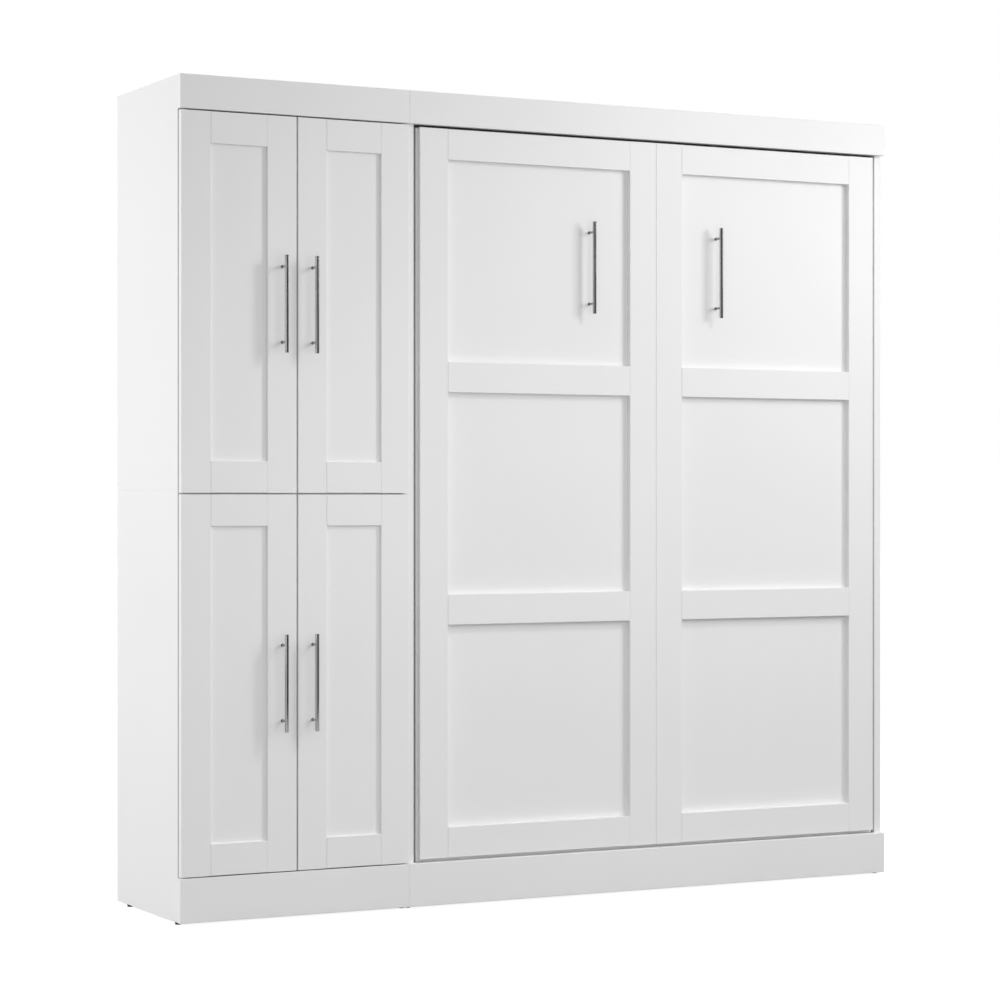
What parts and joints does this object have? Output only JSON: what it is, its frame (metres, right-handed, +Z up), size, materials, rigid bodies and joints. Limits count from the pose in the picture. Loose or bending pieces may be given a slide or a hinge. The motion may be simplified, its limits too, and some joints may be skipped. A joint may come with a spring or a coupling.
{
  "type": "wall bed",
  "caption": "Vertical wall bed in a white cabinet with recessed-panel fronts and bar handles, a slatted steel frame on gas springs with a folding leg, and a storage tower with cup-hinged doors.",
  "frame": {"origin": "centre of the footprint of the whole object with the bed closed, handles included, on the floor", "axes": "+X along the width, away from the storage tower; +Y towards the wall; +Z up"},
  "size_m": [2.131, 0.497, 2.13],
  "materials": {
    "white_lacquered_mdf": "smooth satin white lacquer on MDF",
    "white_melamine_board": "white melamine-faced chipboard",
    "white_hardboard": "white-faced hardboard",
    "zinc_plated_steel": "bright zinc plating",
    "black_plastic": "moulded black polypropylene",
    "black_rubber": "matt rubber",
    "grey_powder_coated_steel": "grey powder coat",
    "birch_plywood": "clear-lacquered bent birch plywood",
    "white_nylon": "turned natural nylon",
    "black_painted_steel": "gloss black paint",
    "chromed_steel": "hard chromed rod",
    "brushed_nickel": "brushed nickel plating"
  },
  "bodies": {
    "cabinet": {"tower_lower_sides": "white_melamine_board", "tower_upper_sides": "white_melamine_board", "tower_tops_and_bases": "white_melamine_board", "tower_shelves": "white_melamine_board", "shelf_pins": "zinc_plated_steel", "tower_backs": "white_hardboard", "tower_plinth": "white_lacquered_mdf", "tower_crown": "white_lacquered_mdf", "bed_side_left": "white_melamine_board", "bed_side_right": "white_melamine_board", "bed_top_panel": "white_melamine_board", "bed_plinth": "white_lacquered_mdf", "bed_crown": "white_lacquered_mdf", "base_stretcher": "white_melamine_board", "lower_wall_rail": "white_melamine_board", "headboard_panel": "white_melamine_board", "upper_wall_rail": "white_melamine_board", "fascia_brackets": "zinc_plated_steel", "levelling_feet": "black_plastic", "hinge_plates": "zinc_plated_steel", "hinge_arms": "zinc_plated_steel", "cabinet_pivot_plates": "zinc_plated_steel", "pivot_bolts": "zinc_plated_steel", "strut_studs": "zinc_plated_steel", "bed_stops": "black_rubber"},
    "bed": {"face_frame_left": "white_lacquered_mdf", "face_frame_right": "white_lacquered_mdf", "face_sheets": "white_lacquered_mdf", "bed_handles": "brushed_nickel", "bed_side_rails": "grey_powder_coated_steel", "bed_cross_rails": "grey_powder_coated_steel", "bed_centre_rail": "grey_powder_coated_steel", "slats": "birch_plywood", "slat_caps": "black_plastic", "head_end_plate": "grey_powder_coated_steel", "bed_pivot_arms": "grey_powder_coated_steel", "pivot_bushes": "white_nylon", "rail_pins": "zinc_plated_steel"},
    "gas_cylinder_left": {"gas_cylinder_left": "black_painted_steel"},
    "gas_cylinder_right": {"gas_cylinder_right": "black_painted_steel"},
    "gas_rod_left": {"gas_rod_left": "chromed_steel"},
    "gas_rod_right": {"gas_rod_right": "chromed_steel"},
    "leg": {"folding_leg": "grey_powder_coated_steel", "leg_feet": "black_rubber"},
    "lower_left_door": {"lower_left_door_frame": "white_lacquered_mdf", "lower_left_door_panel": "white_lacquered_mdf", "lower_left_handle": "brushed_nickel", "lower_left_hinge_cups": "zinc_plated_steel"},
    "lower_right_door": {"lower_right_door_frame": "white_lacquered_mdf", "lower_right_door_panel": "white_lacquered_mdf", "lower_right_handle": "brushed_nickel", "lower_right_hinge_cups": "zinc_plated_steel"},
    "upper_left_door": {"upper_left_door_frame": "white_lacquered_mdf", "upper_left_door_panel": "white_lacquered_mdf", "upper_left_handle": "brushed_nickel", "upper_left_hinge_cups": "zinc_plated_steel"},
    "upper_right_door": {"upper_right_door_frame": "white_lacquered_mdf", "upper_right_door_panel": "white_lacquered_mdf", "upper_right_handle": "brushed_nickel", "upper_right_hinge_cups": "zinc_plated_steel"}
  },
  "joints": [
    {"name": "bed_fold", "type": "hinge", "parent": "cabinet", "child": "bed", "pos_m": [0.3175, -0.0735, 0.39], "axis": [1, 0, 0], "range_deg": [0, 90], "stiffness_Nm_per_rad": 165, "springref_deg": -34.38},
    {"name": "gas_left_swing", "type": "hinge", "parent": "cabinet", "child": "gas_cylinder_left", "pos_m": [-0.3945, -0.1035, 0.308], "axis": [1, 0, 0], "range_deg": [0, 82.7]},
    {"name": "gas_left_stroke", "type": "slide", "parent": "gas_cylinder_left", "child": "gas_rod_left", "axis": [0, -0.0968, 0.9953], "range_m": [-0.115, 0]},
    {"name": "gas_right_swing", "type": "hinge", "parent": "cabinet", "child": "gas_cylinder_right", "pos_m": [1.0295, -0.1035, 0.308], "axis": [1, 0, 0], "range_deg": [0, 82.7]},
    {"name": "gas_right_stroke", "type": "slide", "parent": "gas_cylinder_right", "child": "gas_rod_right", "axis": [0, -0.0968, 0.9953], "range_m": [-0.115, 0]},
    {"name": "leg_fold", "type": "hinge", "parent": "bed", "child": "leg", "pos_m": [0.3175, -0.1535, 2.02], "axis": [1, 0, 0], "range_deg": [0, 205]},
    {"name": "lower_left_door_swing", "type": "hinge", "parent": "cabinet", "child": "lower_left_door", "pos_m": [-1.0565, -0.206, 0.59975], "axis": [0, 0, -1], "range_deg": [0, 95]},
    {"name": "lower_right_door_swing", "type": "hinge", "parent": "cabinet", "child": "lower_right_door", "pos_m": [-0.4395, -0.206, 0.59975], "axis": [0, 0, 1], "range_deg": [0, 95]},
    {"name": "upper_left_door_swing", "type": "hinge", "parent": "cabinet", "child": "upper_left_door", "pos_m": [-1.0565, -0.206, 1.56125], "axis": [0, 0, -1], "range_deg": [0, 95]},
    {"name": "upper_right_door_swing", "type": "hinge", "parent": "cabinet", "child": "upper_right_door", "pos_m": [-0.4395, -0.206, 1.56125], "axis": [0, 0, 1], "range_deg": [0, 95]}
  ],
  "couplings": [
    {"joint": "gas_left_swing", "follows": "bed_fold", "ratio": 0.91841},
    {"joint": "gas_left_stroke", "follows": "bed_fold", "m_per_rad": -0.072499},
    {"joint": "gas_right_swing", "follows": "bed_fold", "ratio": 0.91841},
    {"joint": "gas_right_stroke", "follows": "bed_fold", "m_per_rad": -0.072499},
    {"joint": "leg_fold", "follows": "bed_fold", "ratio": 2.2778}
  ]
}
